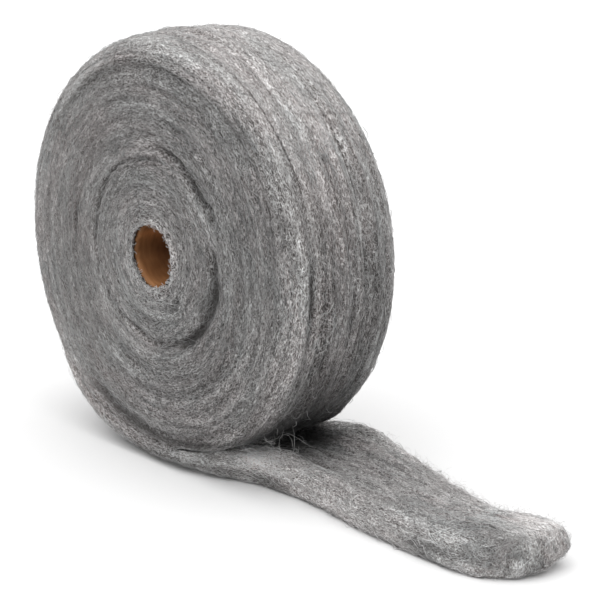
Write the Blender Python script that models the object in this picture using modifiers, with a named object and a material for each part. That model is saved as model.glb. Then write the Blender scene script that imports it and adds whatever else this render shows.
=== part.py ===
"""Steel wool roll: one strip of steel wool wound on a cardboard core, its free end lying on the floor.

Run it with: blender --background --python part.py
Sizes are in metres. +Z is up, +X runs along the free end and Y is the axis of the roll.
The origin is on the floor, straight below the axis and halfway across the strip.
"""

import math

import bmesh
import bpy
import numpy as np

# Cardboard core
CORE_OUTER_DIAMETER = 0.0508
CORE_WALL = 0.003
CORE_RECESS = 0.001  # how far each end of the core lies inside the wool
CORE_CHAMFER = 0.0005
CORE_CLEARANCE = 0.0003  # between the core and the first turn
CORE_SIDES = 48

# Wound strip
STRIP_WIDTH = 0.100
LAYER_THICKNESS = 0.0112
TURNS = 12
SHOULDER_RADIUS = 0.019  # rounding from the rim of the roll to its faces
GROOVE_DEPTH = 0.0020  # between two neighbouring turns, on both faces
LOOSE_GROOVE_DEPTH = 0.0060  # where the winding slackened
LOOSE_GROOVE_TURN = 3.9
LOOSE_GROOVE_SPREAD = 0.55  # in turns
OUTER_GROOVE_DEPTH = 0.0055  # under the last turn, which lies loose
OUTER_GROOVE_TURN = TURNS - 1.25
OUTER_GROOVE_SPREAD = 0.45  # in turns
CREST_POWER = 2.5  # the higher, the flatter the strip's edge between two grooves
RIM_CROWN = 0.0020  # the middle of the rim stands above its edges

# Furrows round the rim, where the strip's fibres draw together. Each has its places across the rim and
# its depths at the stops, which are degrees from +X.
FURROW_STOPS = (-81, -40, 0, 40, 90, 150, 205, 240, 279)
FURROW_HALF_WIDTH = 0.0045
RIM_FURROWS = (
    (
        (-0.0220, -0.0250, -0.0225, -0.0170, -0.0155, -0.0185, -0.0165, -0.0180, -0.0200),
        (0.0, 0.0030, 0.0036, 0.0024, 0.0022, 0.0030, 0.0026, 0.0010, 0.0),
    ),
    (
        (0.0010, 0.0020, 0.0010, 0.0015, 0.0000, -0.0015, 0.0020, 0.0010, 0.0000),
        (0.0, 0.0030, 0.0034, 0.0022, 0.0026, 0.0022, 0.0030, 0.0012, 0.0),
    ),
    (
        (0.0200, 0.0215, 0.0125, 0.0130, 0.0200, 0.0165, 0.0215, 0.0200, 0.0200),
        (0.0, 0.0026, 0.0034, 0.0020, 0.0024, 0.0030, 0.0022, 0.0010, 0.0),
    ),
)

# How the soft roll sits on the floor
SWELL = 0.0120  # the loose last turn is thicker by this much where it comes down to the floor
SWELL_START = 0.18  # in turns, back from the nip
SWELL_RISE = 0.055  # in turns, until it is full
SAG = 0.0150  # the lowest wool is pressed up by this much
SAG_FROM = 0.065  # wool nearer the axis than this keeps its round form
FLAT_PRESS = 0.0016  # further flattening against the floor
NIP_ANGLE = math.radians(-81.0)  # where the strip parts from the roll, seen from the front
RELEASE_SPAN = 0.11  # in turns, past the nip: the shoulder regains its full rounding

# Free end of the strip, seen from above: along x, its widest places in front and at the back
TAIL_STOPS = (0.023, 0.055, 0.080, 0.110, 0.145, 0.180, 0.215, 0.245, 0.266, 0.285, 0.320)
TAIL_FRONT = (-0.050, -0.040, -0.027, -0.0215, -0.021, -0.0255, -0.027, -0.0285, -0.0285, -0.0285, -0.0285)
TAIL_BACK = (0.050, 0.055, 0.0595, 0.061, 0.060, 0.0525, 0.0415, 0.0335, 0.031, 0.038, 0.039)
TAIL_REACH = 0.318  # from the axis of the roll to the tip
TAIL_THICKNESS = 0.028
TAIL_NOSE = 0.012  # length of the rounded tip
NOSE_END = 0.97  # share of the nose at which the flat end patch closes it
NOSE_POWER = 2.6  # the higher, the blunter the tip
TAIL_PARTING = 0.3  # share of the free end along which it takes on its own section
NIP_FILL = 0.92  # share of the wedge under the roll that the wool fills at most

# Sides of the free end, which draw in above and below their widest place
SIDE_WIDEST = 0.30  # height of that place, as a share of the thickness
FRONT_SLOPE = 0.020  # drawn in by this much at the top
BACK_SLOPE = 0.012
UNDERCUT = 0.007  # and by this much on the floor

# Upper side of the free end: a trough between its raised edges
TROUGH_DEPTH = 0.0050
TROUGH_ACROSS = -0.1  # its middle, where -1 is the front edge and 1 the back edge
TROUGH_SPREAD = 0.45
TROUGH_FROM = 0.45  # share of the free end at which the trough starts to fill up
TROUGH_FADE = 0.4
BACK_RISE = 0.0085  # the back edge stands up where it comes out from under the roll
BACK_RISE_AT = 0.113
BACK_RISE_LENGTH = 0.032
BACK_RISE_ACROSS = 0.9
BACK_RISE_SPREAD = 0.35

# Tip of the free end
END_FROM = 0.60  # share of the free end at which it starts to take on the form of its tip
END_RISE = 0.0025  # the tip is thicker by this much
END_LIFT = 0.006  # its back corner stands clear of the floor
CORNER_LENGTH = 0.062  # its front corner is rounded this far back
CORNER_WIDTH = 0.045

# Fineness of the mesh
STEPS_PER_TURN = 40
EDGE_STEPS = 4  # across one turn, on each face
ACROSS_STEPS = 4 * len(RIM_FURROWS)  # across the strip, from face to face
TAIL_STEPS = 28
NOSE_STEPS = 4
RIM_SAMPLES = 40  # along the quarter of the rim above the free end
SHOULDER_SAMPLES = 20  # across its rounded shoulder
WELD_DISTANCE = 1e-6
SMOOTH_BELOW = math.radians(40)

CORE_RADIUS = CORE_OUTER_DIAMETER / 2
FIRST_RADIUS = CORE_RADIUS + CORE_CLEARANCE
ROLL_RADIUS = FIRST_RADIUS + TURNS * LAYER_THICKNESS
HALF_WIDTH = STRIP_WIDTH / 2
FLAT_HALF_WIDTH = HALF_WIDTH - SHOULDER_RADIUS
LOWEST_RADIUS = ROLL_RADIUS + SWELL
AXIS_HEIGHT = LOWEST_RADIUS - SAG - FLAT_PRESS


def smoothstep(value):
    """0 below 0, 1 above 1 and a smooth rise between."""
    value = min(max(value, 0.0), 1.0)
    return value * value * (3 - 2 * value)


def bell(value):
    """1 at 0, falling away smoothly on both sides."""
    return math.exp(-(value**2))


def curve_through(place, stops, values):
    """Smooth curve that takes the values at the stops."""
    slopes = np.gradient(values, stops)
    k = int(np.clip(np.searchsorted(stops, place) - 1, 0, len(stops) - 2))
    span = stops[k + 1] - stops[k]
    share = min(max((place - stops[k]) / span, 0.0), 1.0)
    eased = smoothstep(share)
    leaving = share * (1 - share) ** 2 * span * slopes[k]
    arriving = share**2 * (share - 1) * span * slopes[k + 1]
    return values[k] + (values[k + 1] - values[k]) * eased + leaving + arriving


def layer_radius(turn):
    """Outer radius of the strip this many turns from its start on the core, before the roll sags."""
    return FIRST_RADIUS + LAYER_THICKNESS * max(turn, 0.0)


def winding_angle(turn):
    """Angle from +X, counter-clockwise as seen from the front."""
    return NIP_ANGLE + 2 * math.pi * (turn - TURNS)


def release(turn):
    """0 while another turn covers this one, 1 once it is the free rim of the roll."""
    return smoothstep((turn - (TURNS - 1)) / RELEASE_SPAN)


def swell(turn):
    """Extra thickness of the last turn where it comes down to the floor."""
    return SWELL * smoothstep((turn - (TURNS - SWELL_START)) / SWELL_RISE)


def rim_radius(turn):
    """Radius of the outermost wool at this place on the circle."""
    outermost = TURNS - (TURNS - turn) % 1.0
    covering = (LAYER_THICKNESS + SWELL) * (1 - release(outermost))
    return layer_radius(outermost) + swell(outermost) + covering


def shoulder_inset(radius, rim):
    """How far the face falls back from the full width at this radius."""
    past = min(max(radius - (rim - SHOULDER_RADIUS), 0.0), SHOULDER_RADIUS)
    return SHOULDER_RADIUS - math.sqrt(SHOULDER_RADIUS**2 - past**2)


def groove_depth(turn):
    """Depth of the groove along the outer border of the strip at this turn."""
    if turn <= 0:
        return GROOVE_DEPTH
    loose = bell((turn - LOOSE_GROOVE_TURN) / LOOSE_GROOVE_SPREAD)
    outer = bell((turn - OUTER_GROOVE_TURN) / OUTER_GROOVE_SPREAD)
    depth = (
        GROOVE_DEPTH
        + (LOOSE_GROOVE_DEPTH - GROOVE_DEPTH) * loose
        + (OUTER_GROOVE_DEPTH - GROOVE_DEPTH) * outer
    )
    return depth * (1 - release(turn))


def seated(radius, angle):
    """(x, z) of a point of the round roll once it sags onto the floor."""
    below = -radius * math.sin(angle)
    if below > SAG_FROM:
        below -= SAG * ((below - SAG_FROM) / (LOWEST_RADIUS - SAG_FROM)) ** 2
    return radius * math.cos(angle), max(AXIS_HEIGHT - below, 0.0)


def edge_shares():
    """Places across one turn's edge, from its inner side, 0, to its outer side, 1, closest near both."""
    return [(1 - math.cos(math.pi * k / EDGE_STEPS)) / 2 for k in range(EDGE_STEPS + 1)]


def ring(front_edge, outer_side, back_edge, inner_side):
    """One cross-section as a closed list of points. Both edges are given outwards, the outer side from
    front to back and the inner side from back to front."""
    return [*front_edge, *outer_side, *reversed(back_edge), *inner_side]


def between(start, end):
    """Evenly spaced values from start to end, without both."""
    return [start + (end - start) * k / ACROSS_STEPS for k in range(1, ACROSS_STEPS)]


def rim_columns(turn):
    """(place across the flat rim, depth below it) from front to back: the middle and both banks of each
    furrow, and a place halfway between each two furrows."""
    degrees = math.degrees(winding_angle(turn)) + 360
    columns = []
    for places, depths in RIM_FURROWS:
        middle = np.interp(degrees, FURROW_STOPS, places)
        depth = np.interp(degrees, FURROW_STOPS, depths)
        if columns:
            columns.append(((columns[-1][0] + middle - FURROW_HALF_WIDTH) / 2, 0.0))
        columns += [(middle - FURROW_HALF_WIDTH, 0.0), (middle, depth), (middle + FURROW_HALF_WIDTH, 0.0)]
    return columns


def rim_side(turn, radius, half_width):
    """Points across the outer side of this turn from front to back, with its furrows and its crown."""
    points = []
    for place, depth in rim_columns(turn):
        crown = RIM_CROWN * release(turn) * math.cos(math.pi / 2 * place / FLAT_HALF_WIDTH)
        x, z = seated(radius + crown - depth, winding_angle(turn))
        points.append((x, place * half_width / FLAT_HALF_WIDTH, z))
    return points


def wound_section(turn):
    """Cross-section of the wound strip. Its inner side lies on the turn below, or on the core."""
    angle = winding_angle(turn)
    rim = rim_radius(turn)
    inner_radius = layer_radius(turn - 1)
    outer_radius = layer_radius(turn) + swell(turn)
    inner_groove = groove_depth(turn - 1)
    outer_groove = groove_depth(turn)
    front, back = [], []
    for share in edge_shares():
        radius = inner_radius + (outer_radius - inner_radius) * share
        groove = inner_groove + (outer_groove - inner_groove) * share
        crest = (1 - abs(2 * share - 1) ** CREST_POWER) * min(turn, 1.0)
        y = HALF_WIDTH - shoulder_inset(radius, rim) - groove * (1 - crest)
        x, z = seated(radius, angle)
        front.append((x, -y, z))
        back.append((x, y, z))

    outer = rim_side(turn, outer_radius, back[-1][1])
    inner = rim_side(turn - 1, inner_radius, back[0][1])
    return ring(front, outer, back, reversed(inner))


def roll_underside():
    """A function that gives the height of the roll's underside above the floor at x, y, right of the nip."""
    turns = np.linspace(TURNS - 1, TURNS - 0.75, RIM_SAMPLES)
    insets = np.linspace(0.0, SHOULDER_RADIUS, SHOULDER_SAMPLES)
    lines = []
    for inset in insets:
        drop = SHOULDER_RADIUS - math.sqrt(SHOULDER_RADIUS**2 - (SHOULDER_RADIUS - inset) ** 2)
        points = []
        for turn in turns:
            radius = min(layer_radius(turn), rim_radius(turn) - drop) + RIM_CROWN * release(turn)
            points.append(seated(radius, winding_angle(turn)))
        lines.append(tuple(zip(*points)))

    def height(x, y):
        heights = [np.interp(x, xs, zs) for xs, zs in lines]
        return float(np.interp(HALF_WIDTH - abs(y), insets, heights))

    return height


def tail_places():
    """(x, share of the nose passed) of each cross-section of the free end."""
    nip_x, _ = seated(layer_radius(TURNS - 1), NIP_ANGLE)
    nose_x = TAIL_REACH - TAIL_NOSE
    places = [(nip_x + (nose_x - nip_x) * k / TAIL_STEPS, 0.0) for k in range(1, TAIL_STEPS + 1)]
    for k in range(1, NOSE_STEPS + 1):
        passed = math.sin(math.pi / 2 * k / NOSE_STEPS) * NOSE_END
        places.append((nose_x + TAIL_NOSE * passed, passed))
    return places


def side_inset(place, slope):
    """How far a side of the free end draws in. place is 0 at its top and 1 on the floor."""
    up = max((1 - SIDE_WIDEST - place) / (1 - SIDE_WIDEST), 0.0)
    down = max((place - 1 + SIDE_WIDEST) / SIDE_WIDEST, 0.0)
    return slope * (1 - math.sqrt(1 - up**2)) + UNDERCUT * (1 - math.sqrt(1 - down**2))


def tail_top(x, y, share, across, nip_z, underside):
    """Height of the upper side of the free end. across is -1 at its front edge and 1 at its back edge."""
    trough = bell((across - TROUGH_ACROSS) / TROUGH_SPREAD)
    trough *= 1 - smoothstep((share - TROUGH_FROM) / TROUGH_FADE)
    raised = bell((across - BACK_RISE_ACROSS) / BACK_RISE_SPREAD)
    raised *= bell((x - BACK_RISE_AT) / BACK_RISE_LENGTH)
    full = TAIL_THICKNESS + END_RISE * at_end(share) + BACK_RISE * raised - TROUGH_DEPTH * trough
    room = NIP_FILL * max(underside(x, y) - nip_z, 0.0)
    return nip_z + (full - nip_z) * math.tanh(room / (full - nip_z))


def at_end(share):
    return smoothstep((share - END_FROM) / (1 - END_FROM))


def tail_section(x, nose_passed, nip_section, underside):
    """Cross-section of the free end: its inner side is the upper one, its outer side lies on the floor."""
    nip_x, _, nip_z = nip_section[0]
    share = (x - nip_x) / (TAIL_REACH - nip_x)
    rounded = (1 - nose_passed**NOSE_POWER) ** (1 / NOSE_POWER)
    front_y = curve_through(x, TAIL_STOPS, TAIL_FRONT)
    back_y = curve_through(x, TAIL_STOPS, TAIL_BACK)
    middle, half_width = (back_y + front_y) / 2, (back_y - front_y) / 2
    narrowed = half_width - TAIL_NOSE * (1 - rounded)
    parted = smoothstep(share / TAIL_PARTING)

    def point(y, upward):
        """Point at y, on the floor for upward 0 and on the upper side for upward 1."""
        across = (y - middle) / half_width
        top = tail_top(x, y, share, across, nip_z, underside)
        bottom = END_LIFT * smoothstep(across) * at_end(share) ** 2
        outwards = max(1 - (y - front_y) / CORNER_WIDTH, 0.0)
        drawn_back = CORNER_LENGTH * (1 - math.sqrt(1 - outwards**2)) * at_end(share)
        return x - drawn_back, y, bottom + (top - bottom) * upward

    front, back = [], []
    for k, place in enumerate(edge_shares()):
        nip_inset = HALF_WIDTH + nip_section[k][1]
        upward = (1 + rounded * (1 - 2 * place)) / 2
        for edge, side, slope in ((front, -1, FRONT_SLOPE), (back, 1, BACK_SLOPE)):
            inset = nip_inset + (side_inset(place, slope) - nip_inset) * parted
            edge.append(point(middle + side * (narrowed - inset), upward))

    lower = [point(y, (1 - rounded) / 2) for y in between(front[-1][1], back[-1][1])]
    upper = [point(y, (1 + rounded) / 2) for y in between(back[0][1], front[0][1])]
    return ring(front, lower, back, upper)


def strip_sections():
    """Every cross-section of the strip, from its start on the core to its free tip."""
    sections = [wound_section(k / STEPS_PER_TURN) for k in range(TURNS * STEPS_PER_TURN + 1)]
    nip_section = sections[-1]
    underside = roll_underside()
    for x, nose_passed in tail_places():
        sections.append(tail_section(x, nose_passed, nip_section, underside))
    return sections


def build_wool(material):
    """The whole strip as one solid. A turn that lies on another shares its groove with it, so only
    the edges of the wound strip, its rim, the side on the core and the free end have faces."""
    sections = strip_sections()
    bm = bmesh.new()
    rings = [[bm.verts.new(point) for point in section] for section in sections]
    size = len(sections[0])
    outer_columns = range(EDGE_STEPS, EDGE_STEPS + ACROSS_STEPS)
    inner_columns = range(2 * EDGE_STEPS + ACROSS_STEPS, size)
    back_corner = inner_columns[0]
    last_turn_start = (TURNS - 1) * STEPS_PER_TURN
    nip = TURNS * STEPS_PER_TURN
    for step, (here, there) in enumerate(zip(rings, rings[1:])):
        for column in range(size):
            if column in outer_columns and step < last_turn_start:
                continue
            if column in inner_columns and step < nip:
                continue
            following = (column + 1) % size
            bm.faces.new((here[column], there[column], there[following], here[following]))
        if step < STEPS_PER_TURN:
            bm.faces.new((here[back_corner], there[back_corner], there[0], here[0]))
    close_tip(bm, rings[-1])
    bmesh.ops.remove_doubles(bm, verts=bm.verts, dist=WELD_DISTANCE)
    loose = [vert for vert in bm.verts if not vert.link_faces]
    bmesh.ops.delete(bm, geom=loose, context="VERTS")
    bmesh.ops.recalc_face_normals(bm, faces=bm.faces)
    mesh = bpy.data.meshes.new("steel_wool_roll")
    bm.to_mesh(mesh)
    bm.free()
    return add_object("steel_wool_roll", mesh, material)


def close_tip(bm, last):
    """Faces over the last cross-section: a polygon at each edge and quads from the lower to the upper side."""
    size = len(last)
    bm.faces.new(reversed(last[: EDGE_STEPS + 1]))
    bm.faces.new(reversed(last[EDGE_STEPS + ACROSS_STEPS : size - ACROSS_STEPS + 1]))
    for k in range(ACROSS_STEPS):
        low, high = EDGE_STEPS + k, size - k
        bm.faces.new((last[low + 1], last[low], last[high % size], last[high - 1]))


def build_core(material):
    """The cardboard tube, turned from the outline of its wall."""
    outer, inner = CORE_RADIUS, CORE_RADIUS - CORE_WALL
    half_length = HALF_WIDTH - CORE_RECESS
    outline = [
        (outer - CORE_CHAMFER, half_length),
        (outer, half_length - CORE_CHAMFER),
        (outer, CORE_CHAMFER - half_length),
        (outer - CORE_CHAMFER, -half_length),
        (inner + CORE_CHAMFER, -half_length),
        (inner, CORE_CHAMFER - half_length),
        (inner, half_length - CORE_CHAMFER),
        (inner + CORE_CHAMFER, half_length),
    ]
    points = [(radius, 0.0, along) for radius, along in outline]
    edges = [(k, (k + 1) % len(points)) for k in range(len(points))]
    mesh = bpy.data.meshes.new("cardboard_core")
    mesh.from_pydata(points, edges, [])
    core = add_object("cardboard_core", mesh, material)
    core.location = (0.0, 0.0, AXIS_HEIGHT)
    core.rotation_euler = (math.radians(90), 0.0, 0.0)
    turned = core.modifiers.new("turned", "SCREW")
    turned.steps = turned.render_steps = CORE_SIDES
    turned.use_merge_vertices = True
    turned.merge_threshold = 0.0001
    turned.use_smooth_shade = True
    return core


def add_object(name, mesh, material):
    mesh.materials.append(material)
    if mesh.polygons:
        mesh.shade_smooth()
        mesh.set_sharp_from_angle(angle=SMOOTH_BELOW)
    obj = bpy.data.objects.new(name, mesh)
    bpy.data.collections["steel_wool_roll"].objects.link(obj)
    return obj


def make_material(name, colour, roughness, metallic):
    material = bpy.data.materials.new(name)
    material.use_nodes = True
    shader = material.node_tree.nodes["Principled BSDF"]
    shader.inputs["Base Color"].default_value = (*colour, 1.0)
    shader.inputs["Roughness"].default_value = roughness
    shader.inputs["Metallic"].default_value = metallic
    return material


def clear_scene():
    for obj in list(bpy.data.objects):
        bpy.data.objects.remove(obj)


def main():
    clear_scene()
    collection = bpy.data.collections.new("steel_wool_roll")
    bpy.context.scene.collection.children.link(collection)
    steel_wool = make_material("steel_wool", (0.30, 0.30, 0.305), 0.55, 0.6)
    cardboard = make_material("cardboard", (0.32, 0.17, 0.07), 0.85, 0.0)
    build_wool(steel_wool)
    build_core(cardboard)


main()
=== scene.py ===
"""Looks of the steel wool roll: matted wool with loose fibres over it, wound on a cardboard core.

Metres, +Z up, +X along the free end of the strip, Y along the axis of the roll. Only the waves, creases
and other relief of the surface and the places of its painted light, shade and tones are in millimetres.
"""

import math

import bmesh
import bpy
import numpy as np
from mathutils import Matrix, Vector
from mathutils.bvhtree import BVHTree


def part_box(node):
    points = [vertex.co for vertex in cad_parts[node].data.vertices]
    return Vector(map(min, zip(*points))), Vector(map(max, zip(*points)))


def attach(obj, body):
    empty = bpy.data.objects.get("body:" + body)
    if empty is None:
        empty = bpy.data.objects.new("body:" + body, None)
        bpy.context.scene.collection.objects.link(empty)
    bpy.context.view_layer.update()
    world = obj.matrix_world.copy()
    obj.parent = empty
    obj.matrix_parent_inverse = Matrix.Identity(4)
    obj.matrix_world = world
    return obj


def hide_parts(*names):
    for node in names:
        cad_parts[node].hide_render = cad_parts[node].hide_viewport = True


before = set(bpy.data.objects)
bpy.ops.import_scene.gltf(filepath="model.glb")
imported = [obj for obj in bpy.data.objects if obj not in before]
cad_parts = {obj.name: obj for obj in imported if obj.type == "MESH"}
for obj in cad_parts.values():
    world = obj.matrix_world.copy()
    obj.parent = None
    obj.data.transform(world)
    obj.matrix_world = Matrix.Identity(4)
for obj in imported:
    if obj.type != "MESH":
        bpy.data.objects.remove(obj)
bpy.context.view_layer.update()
CORE_LOW, CORE_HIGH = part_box("cardboard_core")

# One millimetre
MM = 0.001

# Sizes that the solids give
AXIS_HEIGHT = (CORE_LOW.z + CORE_HIGH.z) / 2
CORE_RADIUS = (CORE_HIGH.x - CORE_LOW.x) / 2
CORE_HALF_LENGTH = (CORE_HIGH.y - CORE_LOW.y) / 2

# The strip, as the solid has it
HALF_WIDTH = 0.05
LAYER_THICKNESS = 0.0112
TURNS = 12
CORE_WALL = 0.003
FIRST_RADIUS = CORE_RADIUS + 0.0003
SHOULDER_RADIUS = 0.019
RIM_CROWN = 0.002
SWELL = 0.012
SWELL_START = 0.18
SWELL_RISE = 0.055
SAG = 0.015
SAG_FROM = 0.065
NIP_ANGLE = math.radians(-81.0)
RELEASE_SPAN = 0.11
LOWEST_RADIUS = FIRST_RADIUS + TURNS * LAYER_THICKNESS + SWELL

# Furrows round the rim: places across it and depths at the stops, in degrees from +X
FURROW_STOPS = (-81, -40, 0, 40, 90, 150, 205, 240, 279)
FURROW_HALF_WIDTH = 4.0
RIM_FURROWS = (
    ((-22, -25, -22.5, -17, -15.5, -18.5, -16.5, -18, -20), (0, 3, 3.6, 2.4, 2.2, 3, 2.6, 1, 0)),
    ((1, 2, 1, 1.5, 0, -1.5, 2, 1, 0), (0, 3, 3.4, 2.2, 2.6, 2.2, 3, 1.2, 0)),
    ((20, 21.5, 12.5, 13, 20, 16.5, 21.5, 20, 20), (0, 2.6, 3.4, 2, 2.4, 3, 2.2, 1, 0)),
)

# Free end, seen from above: along x, its widest places in front and at the back
TAIL_STOPS = (0.023, 0.055, 0.08, 0.11, 0.145, 0.18, 0.215, 0.245, 0.266, 0.285, 0.32)
TAIL_FRONT = (-0.05, -0.04, -0.027, -0.0215, -0.021, -0.0255, -0.027, -0.0285, -0.0285, -0.0285, -0.0285)
TAIL_BACK = (0.05, 0.055, 0.0595, 0.061, 0.06, 0.0525, 0.0415, 0.0335, 0.031, 0.038, 0.039)
TAIL_REACH = 0.318
TAIL_THICKNESS = 0.028
TAIL_NOSE = 0.012
NOSE_END = 0.97
NOSE_POWER = 2.6
TAIL_PARTING = 0.3
NIP_FILL = 0.92

# Sides of the free end: height of the widest place as a share, and how far it draws in above and below
SIDE_WIDEST = 0.3
FRONT_SLOPE = 0.02
BACK_SLOPE = 0.012
UNDERCUT = 0.007

# Upper side of the free end: a trough between its raised edges
TROUGH_DEPTH = 0.005
TROUGH_ACROSS = -0.1
TROUGH_SPREAD = 0.45
TROUGH_FROM = 0.45
TROUGH_FADE = 0.4
BACK_RISE = 0.0085
BACK_RISE_AT = 0.113
BACK_RISE_LENGTH = 0.032
BACK_RISE_ACROSS = 0.9
BACK_RISE_SPREAD = 0.35

# Tip of the free end: thicker, its back corner off the floor, its front corner round
END_FROM = 0.6
END_RISE = 0.0025
END_LIFT = 0.006
CORNER_LENGTH = 0.062
CORNER_WIDTH = 0.045

# Fuller and slacker places of the rim: degrees, place across, half-lengths and height
RIM_FORM = (
    (-135, 0, 9, 90, -3.2),
    (-115, 0, 8, 90, 3),
    (-82, 0, 12, 90, -2.6),
    (137, 0, 22, 90, -1.6),
    (-10, -28, 30, 3.5, 1.2),
)
# The same on the free end: millimetres along and place across
TAIL_FORM = (
    (291, -13, 10, 9, 3),
    (306, -2, 6, 3, 0.8),
    (312, 4, 6, 2.5, -0.8),
)

# Furrows and grooves are softer than in the solid, because fibres bridge them
FURROW_SHARE = 0.6
GROOVE_DEPTH = 0.0006
OUTER_GROOVE_DEPTH = 0.0009
OUTER_GROOVE_TURN = TURNS - 1.5
OUTER_GROOVE_SPREAD = 0.6
CREST_POWER = 3.0

# Creases where the winding slackened: places along (degrees round the roll, millimetres on the free
# end), places across, half-width and depth. They fade in and out over CREASE_FADE
CREASE_FADE = 14.0
FACE_CREASES = (
    ((74, 107, 124, 150, 175, 215, 250, 290), (69.5, 69, 71, 68, 67, 65.5, 60, 63), 1.4, 3.6),
    ((20, 33, 41, 54, 62, 77, 90), (77, 76.5, 75.8, 75.5, 77.5, 79.2, 80), 2.8, 5.4),
    ((-75, -59, -45, -30, -20, -10, -2, 7, 22), (64, 65, 66, 66.8, 68.6, 68.2, 67.3, 66, 64), 3.8, 6.4),
    ((10, 49, 65, 94, 130), (136, 135.5, 134.4, 134.2, 133), 3, 1.8),
    ((-68, -52, -36), (40, 39.3, 38), 2.2, 3.6),
    (
        (-130, -118, -105, -92, -80, -68, -57, -40),
        (136, 133.5, 134.5, 135.5, 136, 139, 145.5, 156),
        5.8,
        4.4,
    ),
)
RIM_CREASES = (
    ((25, 50, 90), (-12, -14, -16), 1.4, 1.2),
    ((-20, -4, 12), (-36, -35, -34.5), 1.3, 5.2),
    ((-8, 4, 16), (-16, -16, -13), 1.6, 3.6),
    ((-36, -22, -10), (-13.5, -17.5, -18), 1.8, 3.4),
    ((6, 14, 26), (11.5, 9.5, 8.5), 1.4, 3.4),
    ((-10, 4, 18), (14, 15, 16), 1.5, 3.6),
    ((-26, -19, -12), (6, 6.5, 7), 1.5, 2.8),
    ((40, 47, 55), (4, 5, 6.5), 1.5, 2.6),
    ((-45, -30, -10), (24, 25.5, 24.5), 1.4, 2.8),
    ((95, 140, 185), (12, 15, 11), 1.6, 3),
    ((120, 165, 210), (-18, -14, -16), 1.6, 3.2),
)
TAIL_TOP_CREASES = (
    ((90, 120, 150, 190, 215), (2, 0, -3, -8, -12), 2.2, 2.6),
    ((160, 200, 230, 270), (-20, -26, -30, -26), 1.6, 2),
    ((120, 160, 200), (22, 18, 10), 1.8, 1.8),
)
TAIL_SIDE_CREASES = (
    ((52, 70, 110, 140), (6.5, 7, 7.5, 10), 1.6, 3.6),
    ((215, 245, 285), (12, 12.5, 14), 1.7, 3.6),
)

# Waves: height (a share of LIP for LIP_WAVES), how many, shortest and longest, most round the roll, seed
FACE_WAVES = ((0.26, 14, 3.5, 8, 14, 1), (0.4, 12, 12, 35, 5, 2))
RIM_WAVES = ((0.3, 14, 4, 9, 10, 3), (0.7, 12, 12, 40, 4, 4))
TAIL_WAVES = ((0.4, 14, 5, 11, 16, 7), (0.8, 12, 18, 50, 6, 8))
CREASE_WAVES = ((0.5, 10, 1, 2, 40, 9),)
LIP_WAVES = ((0.12, 12, 1, 2, 30, 21),)
CORE_END_WAVES = ((0.35, 30, 10, 20, 60, 31),)

# Shift that keeps the waves of the two faces apart, radius in metres of the turn that the free end's
# waves stand for, and how much of them is gone at its tip
FACES_APART = 10000
TAIL_WAVE_RADIUS = 0.16
TIP_CALM = 0.7

# Fine creases that wander round the rim: how their paths and the places where they show are made
WRINKLE_PATHS = (10, 30, 60, 5, 5)
WRINKLE_SPELLS = (8, 30, 80, 5, 6)
WRINKLE_WIDTH = 0.07
WRINKLE_DEPTH = 1.0

# Fineness of the wool's mesh
STEPS_PER_TURN = 216
EDGE_STEPS = 10
ACROSS_STEPS = 60
TAIL_STEPS = 110
NOSE_STEPS = 8
RIM_SAMPLES = 60
SHOULDER_SAMPLES = 20
WELD_DISTANCE = 1e-6

# The matted surface lies this far inside the strip's form, which takes in the fibres over it
FIBRE_COVER = 1.1

# Core: steps of its mesh, how far its ragged ends lie behind those of the solid, and its spiral seam
CORE_AROUND = 120
CORE_ALONG = 24
CORE_SET_BACK = 0.0022
SEAM_SLOPE = 1.3
SEAM_PITCH = 0.052
SEAM_DEPTH = 0.00022
SEAM_HALF_WIDTH = 0.02

# The wool's edge laps over the ends of the core, most on the side at the angle LIP_SIDE
LIP = 0.003
LIP_SIDEWAYS = 0.45
LIP_SIDE = -0.3
LIP_FROM = 0.0478
LIP_FULL = HALF_WIDTH - MM
LIP_SPREAD = 0.0045

# Wool this close to the bore stays smooth
BORE_MARGIN = 0.0001

# Depth of a crease at which no light reaches its floor, where its painted shade is full
HOLLOW_DEPTH = 4.5

# Paler places of the wool, and darker ones with a minus: partly its own tones, partly painted light and
# shade, such as painted shade in the creases and in the trough of the outer turn. On the face: degrees,
# radius, half-lengths along and across, and how much paler
FACE_LIGHT_AND_TONES = (
    (20, 85, 900, 60, -0.055),
    (0, 50, 200, 14, -0.04),
    (12, 26.2, 85, 2.8, 0.16),
    (55, 92, 30, 17, -0.035),
    (62, 131, 16, 10, -0.06),
    (12, 112, 22, 14, -0.08),
    (-38, 110, 22, 11, 0.06),
    (-68, 129, 14, 5, -0.05),
    (160, 146, 90, 10, 0.06),
    (-125, 150, 16, 9, 0.11),
    (-112, 133, 12, 8, -0.11),
    (-92, 134.5, 16, 7.5, -0.1),
    (-74, 136, 10, 6, -0.08),
    (-10, 68.5, 16, 4.5, -0.35),
    (-22, 61, 10, 4, -0.12),
    (-50, 66.5, 14, 4.2, -0.3),
    (50, 77.5, 15, 4.2, -0.27),
    (-12, 75, 10, 3.5, -0.21),
    (-34, 71, 10, 3.5, -0.19),
    (-78, 63, 9, 3.5, -0.21),
    (72, 111, 20, 8, -0.03),
    (-42, 83, 25, 14, -0.06),
    (-70, 115, 40, 25, -0.025),
    (-56, 144, 6, 6, 0.15),
    (17, 132, 16, 6, -0.16),
    (47, 141, 9, 7, -0.2),
    (-10, 148, 36, 6, 0.09),
)
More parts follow.
